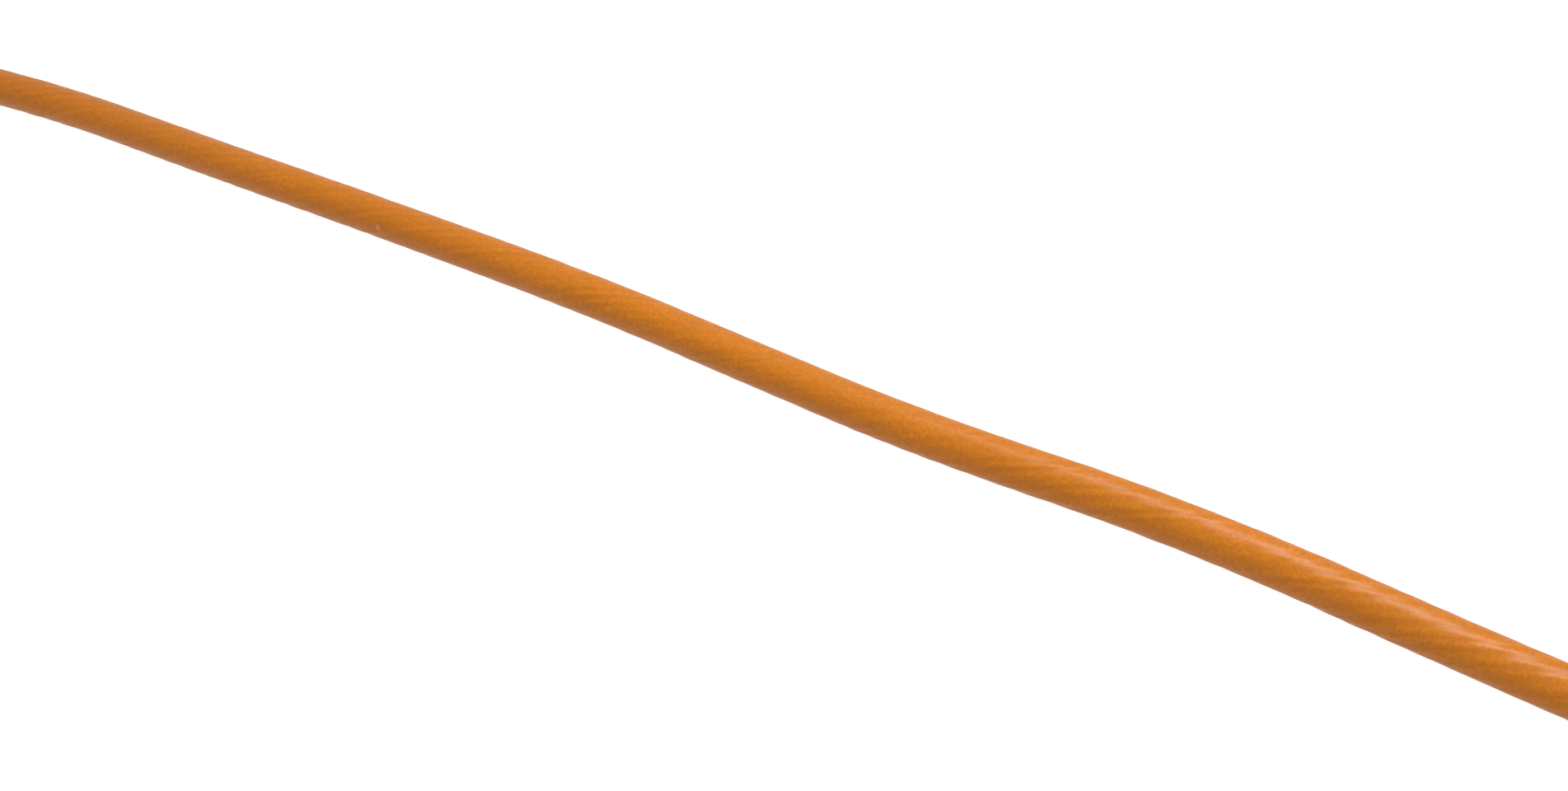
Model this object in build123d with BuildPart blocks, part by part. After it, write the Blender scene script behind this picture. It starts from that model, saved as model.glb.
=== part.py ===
from build123d import *
from math import cos, pi, radians, sin, sqrt, tan
import os

# A 1 m simplex fiber patch cord: 3 mm jacketed cord with an SC plug on each end.
# Plug A stands at the origin with its ferrule tip towards -X. The cord leaves it
# towards +X, crosses the table and ends in a tied coil. Plug B lies beside the coil.

# Cord
CORD_DIAMETER = 3.0
CORD_RADIUS = CORD_DIAMETER / 2
JACKET_BORE = 1.9
BUFFER_DIAMETER = 0.9
CORE_BORE = 1.0

# Plug, along its axis from the ferrule tip
PLUG_LENGTH = 58.0
FRAME_FRONT = 3.0
FRAME_REAR = 24.0
SHOULDER = 7.4
FERRULE_END = 9.4
BUFFER_START = 9.45
COLLAR_END = 9.5
SPRING_START = 9.78
SPRING_END = 17.32
STOP_FACE = 17.6
FLANGE_END = 17.9
GRIP_FRONT = 6.3
GRIP_LENGTH = 25.0
GRIP_REAR = GRIP_FRONT + GRIP_LENGTH
POST_START = 25.6
CRIMP_START = 26.0
POST_END = 33.0
JACKET_START = 33.6
CRIMP_END = 37.5
BUFFER_END = 50.0

# Plug, across its axis
GRIP_WIDTH = 9.0
GRIP_HEIGHT = 7.4
GRIP_CAVITY_WIDTH = 7.5
GRIP_CAVITY_HEIGHT = 5.9
GRIP_REAR_BORE = 6.6
KEY_WIDTH = 2.2
KEY_HEIGHT = 0.9
FRAME_WIDTH = 7.3
FRAME_HEIGHT = 5.7
FRAME_MOUTH = 4.0
FRAME_BORE = 4.8
FERRULE_DIAMETER = 2.5
FERRULE_SEAT = 2.0
FIBRE_BORE = 0.126
COLLAR_DIAMETER = 4.4
COLLAR_GAP = 0.02
FLANGE_TUBE_RADIUS = 0.95
SPRING_OUTER = 3.95
SPRING_WIRE = 0.45
SPRING_TURNS = 6.5
STOP_RADIUS = 2.35
STOP_COLLAR_RADIUS = 2.8
POST_RADIUS = 1.8
POST_BORE_RADIUS = 0.95
YARN_CORE_RADIUS = 0.92
YARN_FOLD_INNER = 1.84
YARN_FOLD_OUTER = 2.02
SLEEVE_FRONT_RADIUS = 2.5
SLEEVE_REAR_RADIUS = 2.05
SLEEVE_FRONT_BORE = 2.06
SLEEVE_REAR_BORE = 1.52
BOOT_RADIUS = 3.0
BOOT_REAR_RADIUS = 2.3
BOOT_REAR_BORE = 1.53
CAP_FIT = 0.02

# Coil of the spare length: two flat layers of turns, one on the other
COIL_CENTRE = (212.0, -83.0)
COIL_MEAN_RADIUS = 18.0
TURN_PITCH = 3.1
LAYER_TURNS = 3.18
TIE_THICKNESS = 0.5
TIE_WIDTH = 5.0
TIE_FIT = 0.02
TIE_ANGLES = (75.0, 285.0)

# Derived places
AXIS_HEIGHT = GRIP_HEIGHT / 2
PLUG_A_TIP = (-PLUG_LENGTH / 2, 0.0, AXIS_HEIGHT)
PLUG_B_EXIT = (235.0, -58.0, AXIS_HEIGHT)
PLUG_B_TIP = (PLUG_B_EXIT[0], PLUG_B_EXIT[1] + PLUG_LENGTH, AXIS_HEIGHT)
COIL_HALF_WIDTH = LAYER_TURNS * TURN_PITCH / 2
COIL_INNER = COIL_MEAN_RADIUS - COIL_HALF_WIDTH - CORD_RADIUS
COIL_OUTER = COIL_MEAN_RADIUS + COIL_HALF_WIDTH + CORD_RADIUS
COIL_HEIGHT = CORD_DIAMETER + TURN_PITCH
COIL_CORNER = CORD_RADIUS - 0.01

# The route of the cord where it isn't coiled, from plug A to the coil
CORD_ROUTE = [
    (29.0, 0.0, 3.7),
    (37.0, 0.0, 3.6),
    (46.0, -1.0, 2.3),
    (55.0, -4.0, 1.5),
    (71.0, -11.5, 1.5),
    (85.5, -21.0, 1.5),
    (100.5, -30.5, 1.5),
    (118.0, -42.0, 1.5),
    (128.5, -50.0, 1.5),
    (140.5, -59.0, 1.5),
    (156.5, -68.5, 1.5),
    (172.5, -81.5, 1.5),
    (185.5, -91.5, 1.6),
    (197.5, -101.0, 2.0),
]

# From the coil's upper layer to plug B
TAIL_ROUTE = [
    (234.9, -83.0, 5.1),
    (235.3, -75.0, 4.6),
    (235.0, -66.0, 3.7),
    (235.0, -58.0, 3.7),
]

# Each plug's own plane: its normal runs from the ferrule tip to the cord, its Y is up
PLUGS = {
    "a": Plane(PLUG_A_TIP, x_dir=(0, 1, 0), z_dir=(1, 0, 0)),
    "b": Plane(PLUG_B_TIP, x_dir=(1, 0, 0), z_dir=(0, -1, 0)),
}


def save(piece, name):
    piece.part.label = name
    export_step(piece.part, f"parts/{name}.step")


def side_plane(plug):
    """The plane through a plug's axis: X runs from the tip to the cord, Y is up."""
    return Plane(plug.origin, x_dir=plug.z_dir, z_dir=-plug.x_dir)


def turned(plug, outline):
    """A turned piece. The outline's corners are (distance from the tip, radius)."""
    with BuildPart() as piece:
        with BuildSketch(side_plane(plug)):
            with BuildLine():
                Polyline(*outline, close=True)
            make_face()
        revolve(axis=Axis(plug.origin, plug.z_dir))
    return piece


def ferrule(plug):
    seat = FERRULE_SEAT / 2
    body = FERRULE_DIAMETER / 2
    bore = FIBRE_BORE / 2
    face = 0.8
    face_round = 0.15
    lead_in = 0.6
    funnel = 0.6
    outline = [
        (0, bore),
        (0, face),
        (face_round, face + 0.2),
        (lead_in, body),
        (SHOULDER, body),
        (SHOULDER, seat),
        (FERRULE_END, seat),
        (FERRULE_END, BUFFER_DIAMETER / 2),
        (FERRULE_END - funnel, bore),
    ]
    return turned(plug, outline)


def ferrule_flange(plug):
    """The collar that the spring pushes, with four tuning notches, and its rear tube."""
    front = SHOULDER + COLLAR_GAP
    collar = COLLAR_DIAMETER / 2
    seat = FERRULE_SEAT / 2
    bore = CORE_BORE / 2
    bevel = 0.15
    notch_count = 4
    notch_depth = 0.5
    notch_width = 0.8
    outline = [
        (front, seat),
        (front, collar - bevel),
        (front + bevel, collar),
        (COLLAR_END, collar),
        (COLLAR_END, FLANGE_TUBE_RADIUS),
        (FLANGE_END, FLANGE_TUBE_RADIUS),
        (FLANGE_END, bore),
        (FERRULE_END, bore),
        (FERRULE_END, seat),
    ]
    with BuildPart() as piece:
        with BuildSketch(side_plane(plug)):
            with BuildLine():
                Polyline(*outline, close=True)
            make_face()
        revolve(axis=Axis(plug.origin, plug.z_dir))
        with BuildSketch(plug.offset(SHOULDER)):
            with PolarLocations(collar, notch_count):
                Rectangle(2 * notch_depth, notch_width)
        extrude(amount=COLLAR_END - SHOULDER, mode=Mode.SUBTRACT)
    return piece


def ferrule_spring(plug):
    height = SPRING_END - SPRING_START
    with BuildPart() as piece:
        with BuildLine() as wire:
            Helix(
                pitch=height / SPRING_TURNS,
                height=height,
                radius=(SPRING_OUTER - SPRING_WIRE) / 2,
                center=plug.offset(SPRING_START).origin,
                direction=plug.z_dir,
            )
        with BuildSketch(Plane(wire.line @ 0, z_dir=wire.line % 0)):
            Circle(SPRING_WIRE / 2)
        sweep(is_frenet=True)
    return piece


def plug_frame(plug):
    """The inner body: a round cavity with a shoulder, and two latch bosses a side.

    The bosses' corners are (distance from the tip, distance from the axis).
    """
    corner = 0.7
    front_bevel = 0.25
    mouth_bevel = 0.3
    boss_height = 2.2
    side = FRAME_WIDTH / 2
    root = side - 0.1
    crest = side + 0.5
    front_boss = [(13.2, root), (13.4, side), (14.6, crest), (14.9, crest), (14.9, root)]
    rear_boss = [(17.0, root), (17.0, crest), (18.2, crest), (18.6, side), (18.6, root)]
    with BuildPart() as piece:
        with BuildSketch(plug.offset(FRAME_FRONT)):
            Rectangle(FRAME_WIDTH, FRAME_HEIGHT)
        extrude(amount=FRAME_REAR - FRAME_FRONT)
        chamfer(piece.edges().filter_by(Axis(plug.origin, plug.z_dir)), length=corner)
        front_face = piece.faces().sort_by(Axis(plug.origin, plug.z_dir))[0]
        chamfer(front_face.edges(), length=front_bevel)
        with BuildSketch(plug.offset(FRAME_FRONT)):
            Circle(FRAME_MOUTH / 2)
        extrude(amount=FRAME_REAR - FRAME_FRONT, mode=Mode.SUBTRACT)
        with BuildSketch(plug.offset(SHOULDER)):
            Circle(FRAME_BORE / 2)
        extrude(amount=FRAME_REAR - SHOULDER, mode=Mode.SUBTRACT)
        with BuildSketch(plug.offset(FRAME_FRONT)):
            Circle(FRAME_MOUTH / 2 + mouth_bevel)
        extrude(amount=mouth_bevel, taper=45, mode=Mode.SUBTRACT)
        flat = Plane(plug.origin, x_dir=plug.z_dir, z_dir=plug.y_dir)
        with BuildSketch(flat):
            for corners in (front_boss, rear_boss):
                with BuildLine():
                    Polyline(*corners, close=True)
                make_face()
            mirror(about=Plane.XZ)
        extrude(amount=boss_height / 2, both=True)
    return piece


def grip_housing(plug):
    """The sliding outer sleeve, with its key rib, two side windows and grip grooves."""
    window_start = 11.0
    window_length = 8.0
    window_height = 2.8
    cavity_end = 24.8
    key_start = 6.8
    key_length = 13.0
    groove_count = 6
    groove_start = 21.6
    groove_pitch = 1.45
    groove_width = 0.7
    groove_depth = 0.3
    corner = 0.7
    end_bevel = 0.35
    cavity_corner = 0.3
    window_corner = 0.5
    key_edge = 0.2
    key_bevel_height = 0.4
    key_bevel_length = 0.5
    key_root = GRIP_HEIGHT / 2 - 0.1
    key_crest = GRIP_HEIGHT / 2 + KEY_HEIGHT
    key_outline = [
        (key_start, key_root),
        (key_start, key_crest - key_bevel_height),
        (key_start + key_bevel_length, key_crest),
        (key_start + key_length, key_crest),
        (key_start + key_length, key_root),
    ]
    with BuildPart() as piece:
        with BuildSketch(plug.offset(GRIP_FRONT)):
            RectangleRounded(GRIP_WIDTH, GRIP_HEIGHT, corner)
        extrude(amount=GRIP_LENGTH)
        along = Axis(plug.origin, plug.z_dir)
        front_face = piece.faces().sort_by(along)[0]
        chamfer(front_face.edges(), length=end_bevel)
        rear_face = piece.faces().sort_by(along)[-1]
        fillet(rear_face.edges(), radius=end_bevel)
        with BuildSketch(side_plane(plug)):
            with BuildLine():
                Polyline(*key_outline, close=True)
            make_face()
        extrude(amount=KEY_WIDTH / 2, both=True)
        key_top = piece.faces().sort_by(Axis(plug.origin, plug.y_dir))[-1]
        fillet(key_top.edges(), radius=key_edge)
        with BuildSketch(plug.offset(GRIP_FRONT)):
            RectangleRounded(GRIP_CAVITY_WIDTH, GRIP_CAVITY_HEIGHT, cavity_corner)
        extrude(amount=cavity_end - GRIP_FRONT, mode=Mode.SUBTRACT)
        with BuildSketch(plug.offset(cavity_end)):
            Circle(GRIP_REAR_BORE / 2)
        extrude(amount=GRIP_REAR - cavity_end, mode=Mode.SUBTRACT)
        with BuildSketch(side_plane(plug)):
            with Locations((window_start + window_length / 2, 0)):
                RectangleRounded(window_length, window_height, window_corner)
        extrude(amount=GRIP_WIDTH, both=True, mode=Mode.SUBTRACT)
        for index in range(groove_count):
            place = groove_start + index * groove_pitch
            with BuildSketch(plug.offset(place)):
                with Locations((GRIP_WIDTH / 2, 0), (-GRIP_WIDTH / 2, 0)):
                    Rectangle(2 * groove_depth, GRIP_HEIGHT)
            extrude(amount=groove_width, mode=Mode.SUBTRACT)
    return piece


def stop_ring(plug):
    """The metal rear body that closes the frame and carries the grooved crimp post."""
    front_bore = 1.15
    bore_taper = 1.0
    collar_start = FRAME_REAR + 0.05
    groove_count = 7
    groove_start = 26.6
    groove_pitch = 0.85
    groove_width = 0.35
    groove_depth = 0.12
    outline = [
        (STOP_FACE, front_bore),
        (STOP_FACE, STOP_RADIUS),
        (collar_start, STOP_RADIUS),
        (collar_start, STOP_COLLAR_RADIUS),
        (POST_START, STOP_COLLAR_RADIUS),
        (POST_START, POST_RADIUS),
        (POST_END, POST_RADIUS),
        (POST_END, POST_BORE_RADIUS),
        (POST_START, POST_BORE_RADIUS),
        (POST_START - bore_taper, front_bore),
    ]
    with BuildPart() as piece:
        with BuildSketch(side_plane(plug)):
            with BuildLine():
                Polyline(*outline, close=True)
            make_face()
        revolve(axis=Axis(plug.origin, plug.z_dir))
        for index in range(groove_count):
            with BuildSketch(plug.offset(groove_start + groove_pitch * index)):
                Circle(STOP_RADIUS)
                Circle(POST_RADIUS - groove_depth, mode=Mode.SUBTRACT)
            extrude(amount=groove_width, mode=Mode.SUBTRACT)
    return piece


def aramid_yarn(plug):
    """The strength yarn: round the buffer in the cord, then folded over the post."""
    inner = CORE_BORE / 2
    fold_front = POST_END + 0.1
    fold_rear = POST_END + 0.5
    outline = [
        (CRIMP_START, YARN_FOLD_INNER),
        (CRIMP_START, YARN_FOLD_OUTER),
        (fold_rear, YARN_FOLD_OUTER),
        (fold_rear, YARN_CORE_RADIUS),
        (PLUG_LENGTH, YARN_CORE_RADIUS),
        (PLUG_LENGTH, inner),
        (fold_front, inner),
        (fold_front, YARN_FOLD_INNER),
    ]
    return turned(plug, outline)


def crimp_sleeve(plug):
    """The stepped tube: its wide end holds the yarn, its narrow end the jacket."""
    step_start = 33.4
    step_end = 34.2
    step_lag = 0.2
    outline = [
        (CRIMP_START, SLEEVE_FRONT_RADIUS),
        (step_start, SLEEVE_FRONT_RADIUS),
        (step_end, SLEEVE_REAR_RADIUS),
        (CRIMP_END, SLEEVE_REAR_RADIUS),
        (CRIMP_END, SLEEVE_REAR_BORE),
        (step_end + step_lag, SLEEVE_REAR_BORE),
        (step_start + step_lag, SLEEVE_FRONT_BORE),
        (CRIMP_START, SLEEVE_FRONT_BORE),
    ]
    return turned(plug, outline)


def tight_buffer(plug):
    radius = BUFFER_DIAMETER / 2
    outline = [
        (BUFFER_START, 0),
        (BUFFER_START, radius),
        (BUFFER_END, radius),
        (BUFFER_END, 0),
    ]
    return turned(plug, outline)


def jacket_end(plug):
    bore = JACKET_BORE / 2
    outline = [
        (JACKET_START, bore),
        (JACKET_START, CORD_RADIUS),
        (PLUG_LENGTH, CORD_RADIUS),
        (PLUG_LENGTH, bore),
    ]
    return turned(plug, outline)


def boot(plug):
    """The tapered strain relief. Its slots alternate between two directions."""
    slot_count = 7
    slot_start = 38.4
    slot_pitch = 2.6
    slot_width = 0.9
    core_radius = 1.95
    bridge = 1.5
    start = 27.0
    front_bore = SLEEVE_FRONT_RADIUS + 0.05
    middle_bore = SLEEVE_REAR_RADIUS + 0.05
    outline = [
        (start, front_bore),
        (start, BOOT_RADIUS - 0.2),
        (start + 0.2, BOOT_RADIUS),
        (33.0, BOOT_RADIUS),
        (34.0, BOOT_RADIUS - 0.15),
        (PLUG_LENGTH - 0.6, BOOT_REAR_RADIUS),
        (PLUG_LENGTH, BOOT_REAR_RADIUS - 0.3),
        (PLUG_LENGTH, BOOT_REAR_BORE),
        (38.3, BOOT_REAR_BORE),
        (37.8, middle_bore),
        (35.0, middle_bore),
        (34.3, front_bore),
    ]
    with BuildPart() as piece:
        with BuildSketch(side_plane(plug)):
            with BuildLine():
                Polyline(*outline, close=True)
            make_face()
        revolve(axis=Axis(plug.origin, plug.z_dir))
        for index in range(slot_count):
            turn = 90 * (index % 2)
            with BuildSketch(plug.offset(slot_start + index * slot_pitch)):
                Circle(BOOT_RADIUS)
                Circle(core_radius, mode=Mode.SUBTRACT)
                Rectangle(3 * BOOT_RADIUS, bridge, rotation=turn, mode=Mode.SUBTRACT)
            extrude(amount=slot_width, mode=Mode.SUBTRACT)
    return piece


def dust_cap(plug):
    """The soft cap that grips the ferrule and enters the frame's mouth."""
    bore = FERRULE_DIAMETER / 2 + CAP_FIT
    rim = 2.5
    waist = 2.2
    neck = FRAME_MOUTH / 2 - 0.1
    front = -6.5
    brim = FRAME_FRONT - 0.5
    rear = SHOULDER - 0.5
    bore_end = -0.9
    outline = [
        (front, 0),
        (front, rim - 0.4),
        (front + 0.4, rim),
        (-4.4, rim),
        (-4.1, waist),
        (1.2, waist),
        (1.5, rim),
        (brim, rim),
        (brim, neck),
        (rear - 0.3, neck),
        (rear, neck - 0.3),
        (rear, bore),
        (bore_end + 0.3, bore),
        (bore_end, 0.9),
        (bore_end, 0),
    ]
    return turned(plug, outline)


def cord_tube(route, name):
    """A round cord along straight runs joined by arcs as large as the runs allow."""
    arc_share = 0.45
    points = [Vector(*point) for point in route]
    runs = [end - start for start, end in zip(points, points[1:])]
    radii = []
    for before, after in zip(runs, runs[1:]):
        half_turn = radians(before.get_angle(after)) / 2
        radii.append(arc_share * min(before.length, after.length) / tan(half_turn))
    with BuildPart() as piece:
        with BuildLine() as path:
            FilletPolyline(*points, radius=radii)
        with BuildSketch(Plane(path.line @ 0, z_dir=path.line % 0)):
            Circle(CORD_RADIUS)
        sweep()
    length = sum(edge.length for edge in path.edges())
    ratio = piece.part.volume / (length * pi * CORD_RADIUS**2)
    print(name, "radii", [round(radius) for radius in radii])
    print(name, "length", round(length, 1), "volume over section times length", round(ratio, 4))
    return piece


def cord_coil():
    """The outer shape of the two layers of turns."""
    with BuildPart() as piece:
        with BuildSketch(Plane((*COIL_CENTRE, 0), x_dir=(1, 0, 0), z_dir=(0, -1, 0))):
            with Locations((COIL_MEAN_RADIUS, TIE_THICKNESS + COIL_HEIGHT / 2)):
                RectangleRounded(COIL_OUTER - COIL_INNER, COIL_HEIGHT, COIL_CORNER)
        revolve(axis=Axis((*COIL_CENTRE, 0), (0, 0, 1)))
    return piece


def coil_tie(angle):
    """A flat strap round the bundle of turns, at an angle about the coil's centre."""
    outward = (cos(radians(angle)), sin(radians(angle)))
    inner = sqrt(COIL_INNER**2 - (TIE_WIDTH / 2) ** 2) - TIE_FIT
    outer = COIL_OUTER + TIE_FIT
    middle = (outer + inner) / 2
    origin = (
        COIL_CENTRE[0] + middle * outward[0],
        COIL_CENTRE[1] + middle * outward[1],
        TIE_THICKNESS + COIL_HEIGHT / 2,
    )
    section = Plane(origin, x_dir=(*outward, 0), z_dir=(outward[1], -outward[0], 0))
    width = outer - inner
    with BuildPart() as piece:
        with BuildSketch(section):
            outer_width = width + 2 * TIE_THICKNESS
            outer_height = COIL_HEIGHT + 2 * TIE_THICKNESS
            RectangleRounded(outer_width, outer_height, CORD_RADIUS + TIE_THICKNESS)
            RectangleRounded(width, COIL_HEIGHT, COIL_CORNER, mode=Mode.SUBTRACT)
        extrude(amount=TIE_WIDTH / 2, both=True)
    return piece


os.makedirs("parts", exist_ok=True)

for end, plug in PLUGS.items():
    save(ferrule(plug), f"ferrule_{end}")
    save(ferrule_flange(plug), f"ferrule_flange_{end}")
    save(ferrule_spring(plug), f"ferrule_spring_{end}")
    save(plug_frame(plug), f"plug_frame_{end}")
    save(grip_housing(plug), f"grip_housing_{end}")
    save(stop_ring(plug), f"stop_ring_{end}")
    save(aramid_yarn(plug), f"aramid_yarn_{end}")
    save(crimp_sleeve(plug), f"crimp_sleeve_{end}")
    save(tight_buffer(plug), f"tight_buffer_{end}")
    save(jacket_end(plug), f"jacket_end_{end}")
    save(boot(plug), f"boot_{end}")

save(dust_cap(PLUGS["b"]), "dust_cap_b")
save(cord_tube(CORD_ROUTE, "cord_run"), "cord_run")
save(cord_tube(TAIL_ROUTE, "cord_tail"), "cord_tail")
save(cord_coil(), "cord_coil")

for number, angle in enumerate(TIE_ANGLES, start=1):
    save(coil_tie(angle), f"coil_tie_{number}")
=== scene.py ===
import math

import bpy
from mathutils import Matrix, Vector, noise


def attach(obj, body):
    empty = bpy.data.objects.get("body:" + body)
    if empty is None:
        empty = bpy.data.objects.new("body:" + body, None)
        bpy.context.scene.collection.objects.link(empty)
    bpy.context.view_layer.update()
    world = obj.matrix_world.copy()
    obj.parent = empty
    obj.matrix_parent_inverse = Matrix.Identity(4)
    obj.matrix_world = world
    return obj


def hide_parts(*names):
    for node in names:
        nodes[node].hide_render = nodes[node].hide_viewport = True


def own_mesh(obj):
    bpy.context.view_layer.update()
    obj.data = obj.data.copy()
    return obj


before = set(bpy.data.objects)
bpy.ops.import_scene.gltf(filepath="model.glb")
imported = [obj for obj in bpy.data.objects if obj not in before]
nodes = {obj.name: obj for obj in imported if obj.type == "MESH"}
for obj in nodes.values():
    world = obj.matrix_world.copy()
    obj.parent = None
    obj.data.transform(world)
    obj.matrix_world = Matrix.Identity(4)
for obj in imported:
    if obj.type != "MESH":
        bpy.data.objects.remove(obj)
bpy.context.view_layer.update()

MM = 0.001

# The cord
CORD_DIAMETER = 3.0 * MM
CORD_RADIUS = CORD_DIAMETER / 2
CORD_EXIT = (29.0 * MM, 0.0, 3.7 * MM)
CORD_ROUTE_MM = [
    (29.0, 0.0, 3.7),
    (37.0, 0.0, 3.6),
    (46.0, -1.0, 2.3),
    (55.0, -4.0, 1.5),
    (71.0, -11.5, 1.5),
    (85.5, -21.0, 1.5),
    (100.5, -30.5, 1.5),
    (118.0, -42.0, 1.5),
    (128.5, -50.0, 1.5),
    (140.5, -59.0, 1.5),
    (156.5, -68.5, 1.5),
    (172.5, -81.5, 1.5),
    (185.5, -91.5, 1.6),
]
TAIL_ROUTE_MM = [
    (234.9, -83.0, 4.9),
    (235.3, -75.0, 4.6),
    (235.0, -66.0, 3.7),
    (235.0, -58.0, 3.7),
]

# The coil: a lower layer that winds inwards, then an upper layer that winds outwards
COIL_CENTRE_MM = (212.0, -83.0)
COIL_MEAN_RADIUS_MM = 18.0
COIL_START_DEG = -128.0
TURN_PITCH_MM = 3.1
LAYER_TURNS = 3.18
LOWER_LAYER_MM = 2.0
LAYER_STACK_MM = 3.06
POINTS_PER_TURN = 16
CLIMB_START_TURNS = -0.17
CLIMB_TURNS = 0.45

# The helical ripple that the yarn under the jacket leaves
RIPPLES_ROUND = 13
RIPPLE_LAY = 25.5 * MM
RIPPLE_HEIGHT = 0.021 * MM

# A small pale nick in the jacket
NICK_DISTANCE = 81.2 * MM
NICK_TURN_DEG = 86.0
NICK_SIZE = 0.32 * MM
NICK_COLOR = (0.60, 0.42, 0.28)

JACKET_COLOR = (0.394, 0.1175, 0.002)

# The plugs: where each ferrule's tip is, and the way from there to the cord
PLUGS = {
    "a": (Vector((-29.0, 0.0, 3.7)) * MM, Vector((1.0, 0.0, 0.0))),
    "b": (Vector((235.0, 0.0, 3.7)) * MM, Vector((0.0, -1.0, 0.0))),
}
SPRING_START = 9.78 * MM
SPRING_LENGTH = 7.54 * MM
SPRING_WIRE = 0.45 * MM
SPRING_RADIUS = 1.75 * MM
SPRING_TURNS = 8

# The ties, at their angles about the coil's centre
TIE_ANGLES_DEG = (75.0, 285.0)
TIE_WIDTH = 5.0 * MM
TIE_THICKNESS = 0.46 * MM
TIE_OVERLAP_DEG = 95.0
STRAP_SPACING = 0.16 * MM

UP = Vector((0.0, 0.0, 1.0))


# ---------------------------------------------------------------- camera

CAMERA_PLACE = (131.5 * MM, -173.8 * MM, 84.1 * MM)
CAMERA_DOWN_DEG = 34.7
CAMERA_LENS_MM = 50.0


def make_camera():
    data = bpy.data.cameras.new("camera")
    data.lens = CAMERA_LENS_MM
    data.sensor_width = 36.0
    data.clip_start = 0.005
    data.clip_end = 20.0
    camera = bpy.data.objects.new("camera", data)
    camera.location = CAMERA_PLACE
    camera.rotation_euler = (math.radians(90.0 - CAMERA_DOWN_DEG), 0.0, 0.0)
    bpy.context.collection.objects.link(camera)
    bpy.context.scene.camera = camera


make_camera()


# ---------------------------------------------------------------- mesh helpers


def new_object(name, mesh):
    obj = bpy.data.objects.new(name, mesh)
    bpy.context.collection.objects.link(obj)
    return obj


def mesh_from_rings(name, rings):
    """A tube through rings of equally many points, with one face to close each end."""
    count = len(rings[0])
    points = [point for ring in rings for point in ring]
    faces = []
    for i in range(len(rings) - 1):
        here = i * count
        there = here + count
        for j in range(count):
            k = (j + 1) % count
            faces.append((here + j, here + k, there + k, there + j))
    last = (len(rings) - 1) * count
    faces.append(tuple(reversed(range(count))))
    faces.append(tuple(last + j for j in range(count)))
    mesh = bpy.data.meshes.new(name)
    mesh.from_pydata(points, [], faces)
    mesh.update()
    mesh.polygons.foreach_set("use_smooth", [True] * len(mesh.polygons))
    return mesh


# ---------------------------------------------------------------- cord


def lower_radius(turns):
    """Radius in millimetres of the layer that winds inwards."""
    return COIL_MEAN_RADIUS_MM + LAYER_TURNS * TURN_PITCH_MM / 2 - TURN_PITCH_MM * turns


def upper_radius(turns):
    """Radius in millimetres of the layer that winds outwards."""
    return COIL_MEAN_RADIUS_MM - LAYER_TURNS * TURN_PITCH_MM / 2 + TURN_PITCH_MM * turns


def smooth_step(x):
    """0 up to x = 0, 1 from x = 1, and a smooth rise between them."""
    x = min(1.0, max(0.0, x))
    return x * x * (3.0 - 2.0 * x)


def coil_place(turns):
    """Radius and height in millimetres of the coil's centreline, that many turns in."""
    if turns < LAYER_TURNS:
        radius = lower_radius(turns)
    else:
        radius = upper_radius(turns - LAYER_TURNS)
    past = turns - LAYER_TURNS
    climb = smooth_step((past - CLIMB_START_TURNS) / CLIMB_TURNS)
    # An upper turn crosses a lower one twice a turn, and stands highest there
    offset = (2.0 * max(0.0, past)) % 1.0
    beside = TURN_PITCH_MM * min(offset, 1.0 - offset)
    rise = math.sqrt(LAYER_STACK_MM**2 - beside**2)
    return radius, LOWER_LAYER_MM + climb * rise


def coil_points():
    """Control points of the coil's turns, in millimetres."""
    total = 2 * LAYER_TURNS
    steps = round(total * POINTS_PER_TURN)
    step_angle = 2 * math.pi * total / steps
    # A smooth spline runs inside its control points, so these stand further out
    spread = 8.0 / (6.0 + 2.0 * math.cos(step_angle))
    points = []
    for i in range(steps):
        turns = total * i / steps
        angle = math.radians(COIL_START_DEG) + i * step_angle
        radius, height = coil_place(turns)
        x = COIL_CENTRE_MM[0] + spread * radius * math.cos(angle)
        y = COIL_CENTRE_MM[1] + spread * radius * math.sin(angle)
        points.append((x, y, height))
    return points


def route_line():
    """The cord's smooth centreline, as points read from a NURBS spline."""
    points = CORD_ROUTE_MM + coil_points() + TAIL_ROUTE_MM
    data = bpy.data.curves.new("route", "CURVE")
    data.dimensions = "3D"
    data.resolution_u = 24
    spline = data.splines.new("NURBS")
    spline.points.add(len(points) - 1)
    for target, (x, y, z) in zip(spline.points, points):
        target.co = (x * MM, y * MM, z * MM, 1.0)
    spline.order_u = 3
    spline.use_endpoint_u = True
    route = bpy.data.objects.new("route", data)
    mesh = bpy.data.meshes.new_from_object(route)
    line = [vertex.co.copy() for vertex in mesh.vertices]
    bpy.data.objects.remove(route)
    bpy.data.curves.remove(data)
    bpy.data.meshes.remove(mesh)
    if (line[0] - Vector(CORD_EXIT)).length > (line[-1] - Vector(CORD_EXIT)).length:
        line.reverse()
    return line


def along(line, step_at):
    """Points of a line at a spacing that step_at gives for each distance along it."""
    distances = [0.0]
    for a, b in zip(line, line[1:]):
        distances.append(distances[-1] + (b - a).length)
    total = distances[-1]
    marks = [0.0]
    # The last step may be up to half as long again as the others
    while marks[-1] + 1.5 * step_at(marks[-1]) < total:
        marks.append(marks[-1] + step_at(marks[-1]))
    marks.append(total)
    points = []
    index = 0
    for mark in marks:
        while index < len(distances) - 2 and distances[index + 1] < mark:
            index += 1
        span = distances[index + 1] - distances[index]
        share = (mark - distances[index]) / span if span > 0 else 0.0
        points.append(line[index].lerp(line[index + 1], min(1.0, share)))
    return points, marks


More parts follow.
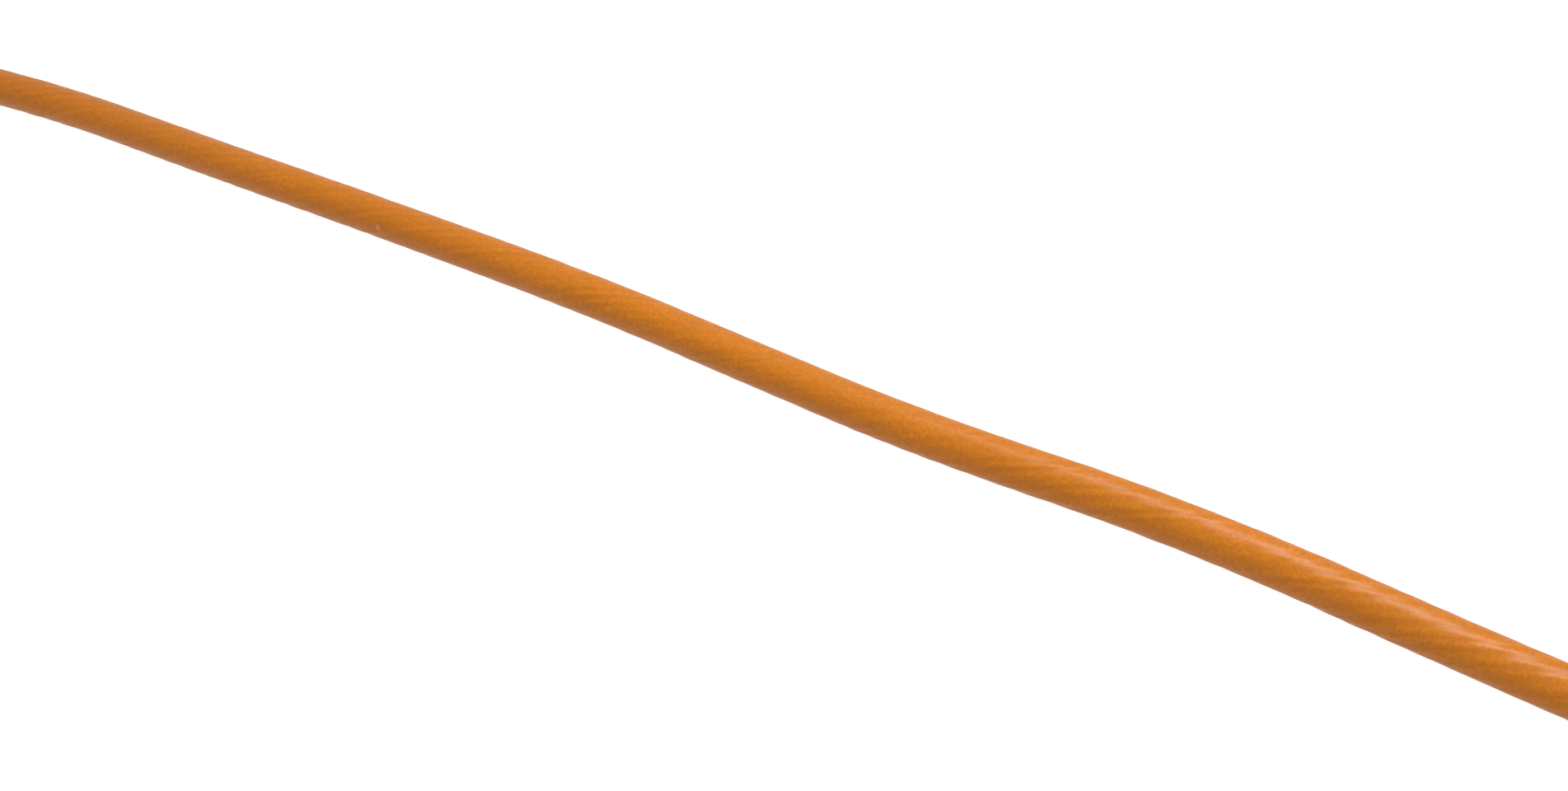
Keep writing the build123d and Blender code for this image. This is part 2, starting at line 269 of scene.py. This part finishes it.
def line_frames(points):
    """Two normals for each point of a line, carried along it without twist."""
    frames = []
    normal = UP.copy()
    for i in range(len(points)):
        before = points[max(0, i - 1)]
        after = points[min(len(points) - 1, i + 1)]
        tangent = (after - before).normalized()
        normal = (normal - tangent * normal.dot(tangent)).normalized()
        frames.append((normal.copy(), tangent.cross(normal)))
    return frames


def ripple(angle, distance):
    """Height of the ripple, from about -1 to 1, at an angle that turns with the lay."""
    d = distance / MM
    x, y = math.cos(angle), math.sin(angle)
    drift = noise.noise(Vector((1.1 * x, 1.1 * y, d / 16.0)))
    swell = noise.noise(Vector((1.7 * x + 9.0, 1.7 * y, d / 10.0)))
    uneven = noise.noise(Vector((3.4 * x, 3.4 * y + 5.0, d / 14.0)))
    main = math.cos(RIPPLES_ROUND * angle + 3.0 * drift)
    return (0.45 + 0.6 * swell) * main + 0.9 * uneven


def make_cord(line):
    """The jacket, rippled except where it enters the boots. It also returns its centreline."""
    sides = 104
    laid_straight = 205.0 * MM
    fine = 0.7 * MM
    coarse = 1.25 * MM
    fade_length = 4.0 * MM
    points, marks = along(line, lambda mark: fine if mark < laid_straight else coarse)
    rings = []
    heights = []
    for point, mark, (normal, side) in zip(points, marks, line_frames(points)):
        ring = []
        twist = -2 * math.pi * mark / RIPPLE_LAY
        from_end = min(mark, marks[-1] - mark)
        fade = smooth_step(from_end / fade_length)
        for j in range(sides):
            lay_angle = 2 * math.pi * j / sides
            height = fade * ripple(lay_angle, mark)
            angle = lay_angle + twist
            out = normal * math.cos(angle) + side * math.sin(angle)
            ring.append(point + out * (CORD_RADIUS + RIPPLE_HEIGHT * (height - 1.0)))
            heights.append(height)
        rings.append(ring)
    mesh = mesh_from_rings("cord", rings)
    attribute = mesh.attributes.new("ripple", "FLOAT", "POINT")
    attribute.data.foreach_set("value", heights)
    return new_object("cord", mesh), points


cord, cord_path = make_cord(route_line())
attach(cord, "root")
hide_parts("cord_run", "cord_coil", "cord_tail")


# ---------------------------------------------------------------- ties


def strands_at(angle_deg):
    """Where the cord's centreline crosses a vertical half-plane at the coil's centre.

    The places are (distance from the coil's axis, height).
    """
    centre = Vector((COIL_CENTRE_MM[0] * MM, COIL_CENTRE_MM[1] * MM, 0.0))
    angle = math.radians(angle_deg)
    outward = Vector((math.cos(angle), math.sin(angle), 0.0))
    across = Vector((-math.sin(angle), math.cos(angle), 0.0))
    reach = 30.0 * MM
    found = []
    for a, b in zip(cord_path, cord_path[1:]):
        before = (a - centre).dot(across)
        after = (b - centre).dot(across)
        if before < 0.0 <= after and (a - centre).dot(outward) > 0.0:
            point = a.lerp(b, before / (before - after))
            radius = (point - centre).dot(outward)
            if radius < reach:
                found.append((radius, point.z))
    return centre, outward, across, found


def hull_point(strands, direction, offset):
    """The point of the strands' outline that faces a direction, moved out by an offset."""
    furthest = max(strands, key=lambda s: s[0] * direction[0] + s[1] * direction[1])
    return (furthest[0] + offset * direction[0], furthest[1] + offset * direction[1])


def strap_line(strands):
    """The strap's path round the strands, as evenly spaced (point, outward normal) pairs."""
    gap = 0.03 * MM
    overlap_gap = 0.02 * MM
    start = math.radians(20.0)
    turn = 2 * math.pi + math.radians(TIE_OVERLAP_DEG)
    climb_before = 0.5
    climb_angle = 0.45
    steps = 900
    line = []
    for i in range(steps + 1):
        turned = turn * i / steps
        angle = start + turned
        direction = (math.cos(angle), math.sin(angle))
        # The strap climbs onto its own start a little before it gets there
        lift = smooth_step((turned - (2 * math.pi - climb_before)) / climb_angle)
        offset = CORD_RADIUS + gap + lift * (TIE_THICKNESS + overlap_gap)
        line.append((hull_point(strands, direction, offset), direction))
    # Extra points fill the straight stretches of the outline, where the loop above leaves none
    spaced = [line[0]]
    for point, direction in line[1:]:
        last, last_direction = spaced[-1]
        count = int(math.dist(point, last) / STRAP_SPACING)
        for k in range(1, count + 1):
            share = k / count
            rest = 1 - share
            mixed = (
                last_direction[0] * rest + direction[0] * share,
                last_direction[1] * rest + direction[1] * share,
            )
            size = math.hypot(*mixed)
            place = (last[0] * rest + point[0] * share, last[1] * rest + point[1] * share)
            spaced.append((place, (mixed[0] / size, mixed[1] / size)))
    return spaced


def strap_profile(half_width):
    """The strap's rounded section as (across, thickness) points, dense on its flat faces."""
    rounding = 0.12 * MM
    corner_points = 4
    face_points = 24
    corners = (
        (half_width, 0.0),
        (half_width, TIE_THICKNESS),
        (-half_width, TIE_THICKNESS),
        (-half_width, 0.0),
    )
    profile = []
    for quarter, (across, thickness) in enumerate(corners):
        x = across - math.copysign(rounding, across)
        y = thickness + rounding if thickness == 0.0 else thickness - rounding
        for k in range(corner_points):
            angle = math.radians(-90 + 90 * quarter + 90 * k / (corner_points - 1))
            profile.append((x + rounding * math.cos(angle), y + rounding * math.sin(angle)))
        if quarter in (1, 3):
            # Points across the flat face, for the weave's relief
            side = -1.0 if quarter == 1 else 1.0
            for k in range(1, face_points):
                share = -1 + 2 * k / face_points
                profile.append((side * (half_width - rounding) * share, thickness))
    return profile


def make_tie(name, angle_deg):
    """A hook-and-loop strap pulled round the strands, with its end pressed over its start."""
    centre, outward, across, strands = strands_at(angle_deg)
    weave_height = 0.018 * MM
    weave_along = 1.05
    weave_across = 9.0 / MM
    lowest = 0.004 * MM
    line = strap_line(strands)
    half_width = TIE_WIDTH / 2
    rings = []
    for i, ((radius, height), normal) in enumerate(line):
        # The end of the strap is rounded
        from_end = (len(line) - 1 - i) * STRAP_SPACING
        end_share = min(1.0, from_end / half_width)
        narrow = math.sqrt(max(0.03, 1.0 - (1.0 - end_share) ** 2))
        ring = []
        for sideways, thickness in strap_profile(half_width * narrow):
            weave = 0.0
            # Only the outer face is woven
            if thickness >= TIE_THICKNESS - 1e-9:
                weave = weave_height * math.sin(i * weave_along) * math.cos(sideways * weave_across)
            out = radius + normal[0] * (thickness + weave)
            up = height + normal[1] * (thickness + weave)
            point = centre + outward * out + across * sideways
            point.z = max(lowest, up)
            ring.append(point)
        rings.append(ring)
    return new_object(name, mesh_from_rings(name, rings))


ties = []
for number, tie_angle in enumerate(TIE_ANGLES_DEG, start=1):
    tie = make_tie(f"coil_strap_{number}", tie_angle)
    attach(tie, "root")
    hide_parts(f"coil_tie_{number}")
    ties.append(tie)


# ---------------------------------------------------------------- springs


def make_spring(end, tip, direction):
    """The round-wire spring behind the flange, with a closed coil at each end."""
    steps_per_turn = 40
    sides = 12
    closed_pitch = SPRING_WIRE * 1.04
    open_pitch = (SPRING_LENGTH - 2 * closed_pitch) / (SPRING_TURNS - 2)
    across = direction.cross(UP)
    distance = SPRING_START
    points = []
    for i in range(SPRING_TURNS * steps_per_turn + 1):
        turn = i / steps_per_turn
        angle = 2 * math.pi * turn
        out = across * math.cos(angle) + UP * math.sin(angle)
        points.append(tip + direction * distance + out * SPRING_RADIUS)
        opened = smooth_step(min(turn, SPRING_TURNS - turn) - 0.5)
        distance += (closed_pitch + (open_pitch - closed_pitch) * opened) / steps_per_turn
    rings = []
    for point, (normal, side) in zip(points, line_frames(points)):
        ring = []
        for j in range(sides):
            angle = 2 * math.pi * j / sides
            ring.append(point + (normal * math.cos(angle) + side * math.sin(angle)) * SPRING_WIRE / 2)
        rings.append(ring)
    spring = new_object(f"spring_coil_{end}", mesh_from_rings(f"spring_coil_{end}", rings))
    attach(spring, "root")
    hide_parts(f"ferrule_spring_{end}")
    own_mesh(spring)
    return spring


springs = {end: make_spring(end, tip, direction) for end, (tip, direction) in PLUGS.items()}


# ---------------------------------------------------------------- materials


class Shader:
    """A node tree around one principled shader."""

    def __init__(self, name, color, roughness, metallic=0.0):
        self.material = bpy.data.materials.new(name)
        self.material.use_nodes = True
        self.nodes = self.material.node_tree.nodes
        self.links = self.material.node_tree.links
        self.surface = self.nodes["Principled BSDF"]
        self.surface.inputs["Base Color"].default_value = (*color, 1.0)
        self.surface.inputs["Roughness"].default_value = roughness
        self.surface.inputs["Metallic"].default_value = metallic
        self.place = self.add("ShaderNodeTexCoord").outputs["Object"]

    def add(self, kind, **settings):
        """A new node with the settings given."""
        node = self.nodes.new(kind)
        for key, value in settings.items():
            setattr(node, key, value)
        return node

    def join(self, output, target):
        self.links.new(output, target)

    def uniform(self, socket, value):
        """One value all over, on the shader's own socket."""
        self.surface.inputs[socket].default_value = value

    def paint(self, color):
        self.join(color, self.surface.inputs["Base Color"])

    def gloss(self, value, low, high):
        """Roughness that varies between low and high with a noise."""
        self.join(self.span(value, 0.3, 0.7, low, high), self.surface.inputs["Roughness"])

    def noise(self, scale, detail=3.0, roughness=0.5, stretch=None):
        """A noise with that many features a metre."""
        node = self.add("ShaderNodeTexNoise")
        node.inputs["Scale"].default_value = scale
        node.inputs["Detail"].default_value = detail
        node.inputs["Roughness"].default_value = roughness
        source = self.place
        if stretch is not None:
            mapping = self.add("ShaderNodeMapping")
            mapping.inputs["Scale"].default_value = stretch
            self.join(source, mapping.inputs["Vector"])
            source = mapping.outputs["Vector"]
        self.join(source, node.inputs["Vector"])
        return node.outputs["Fac"]

    def span(self, value, low, high, to_low, to_high):
        """A value from low to high, mapped to the span from to_low to to_high."""
        node = self.add("ShaderNodeMapRange")
        node.inputs["From Min"].default_value = low
        node.inputs["From Max"].default_value = high
        node.inputs["To Min"].default_value = to_low
        node.inputs["To Max"].default_value = to_high
        self.join(value, node.inputs["Value"])
        return node.outputs["Result"]

    def math(self, operation, a, b):
        node = self.add("ShaderNodeMath", operation=operation)
        for value, target in ((a, node.inputs[0]), (b, node.inputs[1])):
            if isinstance(value, (int, float)):
                target.default_value = value
            else:
                self.join(value, target)
        return node.outputs["Value"]

    def mix(self, share, a, b):
        """Color a where the share is 0 and color b where it is 1."""
        node = self.add("ShaderNodeMix", data_type="RGBA")
        self.join(share, node.inputs["Factor"])
        for value, key in ((a, "A"), (b, "B")):
            target = [i for i in node.inputs if i.name == key and i.type == "RGBA"][0]
            if isinstance(value, tuple):
                target.default_value = (*value, 1.0)
            else:
                self.join(value, target)
        return [o for o in node.outputs if o.type == "RGBA"][0]

    def bump(self, height, strength, distance):
        """Relief on top of whatever already bends the shader's normal."""
        node = self.add("ShaderNodeBump")
        node.inputs["Strength"].default_value = strength
        node.inputs["Distance"].default_value = distance
        self.join(height, node.inputs["Height"])
        previous = self.surface.inputs["Normal"]
        if previous.is_linked:
            self.join(previous.links[0].from_socket, node.inputs["Normal"])
        self.join(node.outputs["Normal"], previous)

    def edges(self, radius):
        """Softens sharp edges, and returns a mask that is 1 on them and 0 elsewhere."""
        bevel = self.add("ShaderNodeBevel", samples=6)
        bevel.inputs["Radius"].default_value = radius
        self.join(bevel.outputs["Normal"], self.surface.inputs["Normal"])
        turn = self.add("ShaderNodeVectorMath", operation="DOT_PRODUCT")
        self.join(bevel.outputs["Normal"], turn.inputs[0])
        self.join(self.add("ShaderNodeNewGeometry").outputs["Normal"], turn.inputs[1])
        return self.span(turn.outputs["Value"], 0.985, 0.90, 0.0, 1.0)


def shade(color, factor):
    """A lighter or darker color."""
    return tuple(min(1.0, channel * factor) for channel in color)


def nick_place():
    """Where the jacket has been rubbed pale by a small nick, on its near side."""
    points, marks = along(cord_path, lambda mark: MM)
    index = min(range(len(marks)), key=lambda i: abs(marks[i] - NICK_DISTANCE))
    normal, side = line_frames(points)[index]
    angle = math.radians(NICK_TURN_DEG)
    return points[index] + (normal * math.cos(angle) + side * math.sin(angle)) * CORD_RADIUS


def jacket_material(rippled):
    """Orange jacket with a fine grain. On the cord's own jacket, painted shade darkens the ripple's
    valleys.
    """
    base = JACKET_COLOR
    shader = Shader("jacket_orange" if rippled else "jacket_orange_plain", base, 0.42)
    blotch = shader.span(shader.noise(190.0, 4.0, 0.6), 0.3, 0.7, 0.0, 1.0)
    color = shader.mix(blotch, shade(base, 0.95), shade(base, 1.05))
    speck = shader.span(shader.noise(4200.0, 4.0, 0.75), 0.38, 0.62, 0.0, 1.0)
    color = shader.mix(speck, color, shade(base, 0.73))
    if rippled:
        height = shader.add("ShaderNodeAttribute", attribute_name="ripple").outputs["Fac"]
        # Painted shade: the colour darkens towards the ripple's valleys, where the relief would shade
        # itself
        painted_valley_shade = shader.span(height, -0.9, 0.6, 0.55, 0.0)
        color = shader.mix(painted_valley_shade, color, shade(base, 0.72))
        away = shader.add("ShaderNodeVectorMath", operation="DISTANCE")
        shader.join(shader.place, away.inputs[0])
        away.inputs[1].default_value = nick_place()
        rubbed = shader.span(away.outputs["Value"], 0.2 * NICK_SIZE, NICK_SIZE, 0.22, 0.0)
        color = shader.mix(rubbed, color, NICK_COLOR)
    shader.paint(color)
    shader.gloss(shader.noise(420.0, 4.0, 0.6), 0.37, 0.45)
    shader.uniform("Specular IOR Level", 0.19)
    shader.bump(shader.noise(2400.0, 3.0, 0.6), 0.35, 0.012 * MM)
    shader.bump(shader.noise(500.0, 2.0, 0.5), 0.3, 0.03 * MM)
    return shader.material


def moulded_material(name, color, roughness, grain):
    """Moulded plastic: faint flow marks, a fine eroded grain, small scuffs and rubbed edges."""
    shader = Shader(name, color, roughness)
    edge = shader.edges(0.10 * MM)
    flow = shader.span(shader.noise(120.0, 3.0, 0.5), 0.3, 0.7, 0.0, 1.0)
    tone = shader.mix(flow, shade(color, 0.94), shade(color, 1.04))
    streaks = shader.noise(900.0, 5.0, 0.7, stretch=(0.25, 1.0, 1.0))
    scuff = shader.span(streaks, 0.60, 0.72, 0.0, 0.6)
    tone = shader.mix(scuff, tone, shade(color, 1.14))
    patchy = shader.span(shader.noise(700.0, 3.0, 0.6), 0.35, 0.65, 0.1, 0.9)
    tone = shader.mix(shader.math("MULTIPLY", edge, patchy), tone, shade(color, 1.25))
    shader.paint(tone)
    shader.gloss(shader.noise(600.0, 4.0, 0.6), roughness - 0.08, roughness + 0.10)
    shader.bump(shader.noise(grain, 2.0, 0.6), 0.5, 0.03 * MM)
    return shader.material


def turned_material(name, color, roughness, axis):
    """Turned and plated metal: fine rings across the plug's axis."""
    shader = Shader(name, color, roughness, metallic=1.0)
    stretch = (1.0, 0.02, 0.02) if axis == "x" else (0.02, 1.0, 0.02)
    rings = shader.noise(9000.0, 3.0, 0.6, stretch=stretch)
    shader.bump(rings, 0.4, 0.004 * MM)
    tarnish = shader.span(shader.noise(700.0, 4.0, 0.6), 0.35, 0.7, 0.0, 1.0)
    shader.paint(shader.mix(tarnish, color, shade(color, 0.86)))
    shader.gloss(rings, roughness - 0.05, roughness + 0.12)
    return shader.material


def ceramic_material():
    """Polished zirconia, which lets a little light in."""
    color = (0.66, 0.66, 0.63)
    shader = Shader("ferrule_ceramic", color, 0.12)
    shader.paint(shader.mix(shader.noise(1500.0, 3.0, 0.5), shade(color, 0.96), color))
    shader.gloss(shader.noise(3000.0, 3.0, 0.5), 0.08, 0.16)
    shader.uniform("Subsurface Weight", 0.2)
    shader.uniform("Subsurface Scale", 0.3 * MM)
    return shader.material


def boot_material():
    """Black rubber with dust in patches and on its edges."""
    color = (0.012, 0.012, 0.013)
    dusty = (0.055, 0.053, 0.050)
    worn = (0.050, 0.049, 0.047)
    shader = Shader("boot_rubber", color, 0.5)
    edge = shader.edges(0.12 * MM)
    dust = shader.span(shader.noise(350.0, 5.0, 0.65), 0.45, 0.75, 0.0, 0.35)
    tone = shader.mix(dust, color, dusty)
    tone = shader.mix(shader.math("MULTIPLY", edge, 0.5), tone, worn)
    shader.paint(tone)
    shader.gloss(shader.noise(800.0, 4.0, 0.6), 0.42, 0.6)
    shader.bump(shader.noise(4200.0, 2.0, 0.6), 0.4, 0.015 * MM)
    return shader.material


def cap_material():
    """Soft, slightly clear plastic."""
    color = (0.46, 0.50, 0.51)
    shader = Shader("cap_soft_plastic", color, 0.38)
    shader.edges(0.15 * MM)
    shader.paint(shader.mix(shader.noise(260.0, 3.0, 0.5), shade(color, 0.94), shade(color, 1.03)))
    shader.gloss(shader.noise(900.0, 3.0, 0.5), 0.32, 0.46)
    shader.bump(shader.noise(2500.0, 2.0, 0.5), 0.25, 0.01 * MM)
    shader.uniform("Subsurface Weight", 0.35)
    shader.uniform("Subsurface Scale", 1.2 * MM)
    return shader.material


def strap_material():
    """The loop side of hook-and-loop fabric: a short pale fuzz over black."""
    color = (0.016, 0.016, 0.018)
    lint = (0.060, 0.060, 0.064)
    shader = Shader("strap_loop_fabric", color, 0.85)
    fuzz = shader.noise(3600.0, 5.0, 0.75)
    shader.paint(shader.mix(shader.span(fuzz, 0.4, 0.75, 0.0, 1.0), color, lint))
    shader.bump(fuzz, 0.8, 0.09 * MM)
    shader.uniform("Sheen Weight", 0.5)
    shader.uniform("Sheen Roughness", 0.4)
    return shader.material


def yarn_material(axis):
    """Yellow yarn with its strands along the plug's axis."""
    color = (0.70, 0.52, 0.13)
    shader = Shader(f"aramid_yarn_{axis}", color, 0.6)
    stretch = (0.04, 1.0, 1.0) if axis == "x" else (1.0, 0.04, 1.0)
    strands = shader.noise(9000.0, 3.0, 0.6, stretch=stretch)
    lit = shader.span(strands, 0.35, 0.65, 0.0, 1.0)
    shader.paint(shader.mix(lit, shade(color, 0.6), shade(color, 1.1)))
    shader.bump(strands, 0.8, 0.05 * MM)
    shader.uniform("Sheen Weight", 0.3)
    return shader.material


def set_material(obj, material):
    """The material in every slot of the object, and not in its mesh."""
    if not obj.material_slots:
        obj.data.materials.append(material)
    for material_slot in obj.material_slots:
        material_slot.link = "OBJECT"
        material_slot.material = material


set_material(cord, jacket_material(True))
for tie in ties:
    set_material(tie, strap_material())

plain_jacket = jacket_material(False)
grip_plastic = moulded_material("grip_beige", (0.47, 0.375, 0.235), 0.40, 3200.0)
frame_plastic = moulded_material("frame_ivory", (0.56, 0.53, 0.45), 0.34, 3800.0)
buffer_plastic = moulded_material("buffer_amber", (0.66, 0.36, 0.12), 0.35, 5200.0)
ferrule_ceramic = ceramic_material()
boot_rubber = boot_material()
cap_plastic = cap_material()

for end, axis in (("a", "x"), ("b", "y")):
    nickel = turned_material(f"nickel_{end}", (0.66, 0.63, 0.57), 0.25, axis)
    crimp = turned_material(f"crimp_{end}", (0.70, 0.69, 0.66), 0.30, axis)
    wire = turned_material(f"spring_wire_{end}", (0.56, 0.56, 0.57), 0.22, axis)
    looks = {
        "ferrule": ferrule_ceramic,
        "ferrule_flange": nickel,
        "plug_frame": frame_plastic,
        "grip_housing": grip_plastic,
        "stop_ring": nickel,
        "aramid_yarn": yarn_material(axis),
        "crimp_sleeve": crimp,
        "tight_buffer": buffer_plastic,
        "jacket_end": plain_jacket,
        "boot": boot_rubber,
    }
    for part, material in looks.items():
        set_material(nodes[f"{part}_{end}"], material)
    set_material(springs[end], wire)
set_material(nodes["dust_cap_b"], cap_plastic)


# ---------------------------------------------------------------- floor and light


def make_floor():
    """A white table that mostly lights itself, so that the cord hardly shades it."""
    half = 6.0
    own_light = 0.95
    corners = [(-half, -half, 0), (half, -half, 0), (half, half, 0), (-half, half, 0)]
    mesh = bpy.data.meshes.new("floor")
    mesh.from_pydata(corners, [], [(0, 1, 2, 3)])
    floor = new_object("floor", mesh)
    shader = Shader("floor_white", (0.12, 0.12, 0.12), 0.8)
    shader.uniform("Specular IOR Level", 0.0)
    shader.uniform("Emission Color", (1.0, 1.0, 1.0, 1.0))
    shader.uniform("Emission Strength", own_light)
    set_material(floor, shader.material)


def make_world():
    """A pale studio dome, brightest overhead and behind, darker on the near side."""
    brightest_towards = (-0.15, 0.45, 0.88)
    darkest = 0.74
    brightest = 0.92
    world = bpy.data.worlds.new("studio")
    world.use_nodes = True
    bpy.context.scene.world = world
    tree = world.node_tree
    background = tree.nodes["Background"]
    coordinates = tree.nodes.new("ShaderNodeTexCoord")
    dot = tree.nodes.new("ShaderNodeVectorMath")
    dot.operation = "DOT_PRODUCT"
    dot.inputs[1].default_value = brightest_towards
    ramp = tree.nodes.new("ShaderNodeMapRange")
    ramp.interpolation_type = "SMOOTHSTEP"
    ramp.inputs["From Min"].default_value = 0.0
    ramp.inputs["From Max"].default_value = 0.85
    ramp.inputs["To Min"].default_value = darkest
    ramp.inputs["To Max"].default_value = brightest
    tree.links.new(coordinates.outputs["Generated"], dot.inputs[0])
    tree.links.new(dot.outputs["Value"], ramp.inputs["Value"])
    tree.links.new(ramp.outputs["Result"], background.inputs["Strength"])
    background.inputs["Color"].default_value = (1.0, 1.0, 1.0, 1.0)


def make_softbox(name, target, direction, distance, size, power):
    """A round lamp that shines at a target from a distance in a direction."""
    data = bpy.data.lights.new(name, "AREA")
    data.shape = "DISK"
    data.size = size
    data.energy = power
    light = bpy.data.objects.new(name, data)
    aim = Vector(direction).normalized()
    light.location = Vector(target) + aim * distance
    light.rotation_euler = aim.to_track_quat("Z", "Y").to_euler()
    bpy.context.collection.objects.link(light)


make_floor()
make_world()
# Its reflection is the pale streak along the near third of the cord
make_softbox(
    "streak",
    target=(0.170, -0.079, 0.0),
    direction=(-0.06, 0.25, 0.96),
    distance=0.17,
    size=0.085,
    power=0.35,
)
# It lights the near side, where the dome is darkest
make_softbox(
    "fill",
    target=(0.085, -0.035, 0.0),
    direction=(0.00, -0.80, 0.60),
    distance=0.32,
    size=0.18,
    power=0.27,
)
bpy.context.scene.view_settings.view_transform = "Standard"
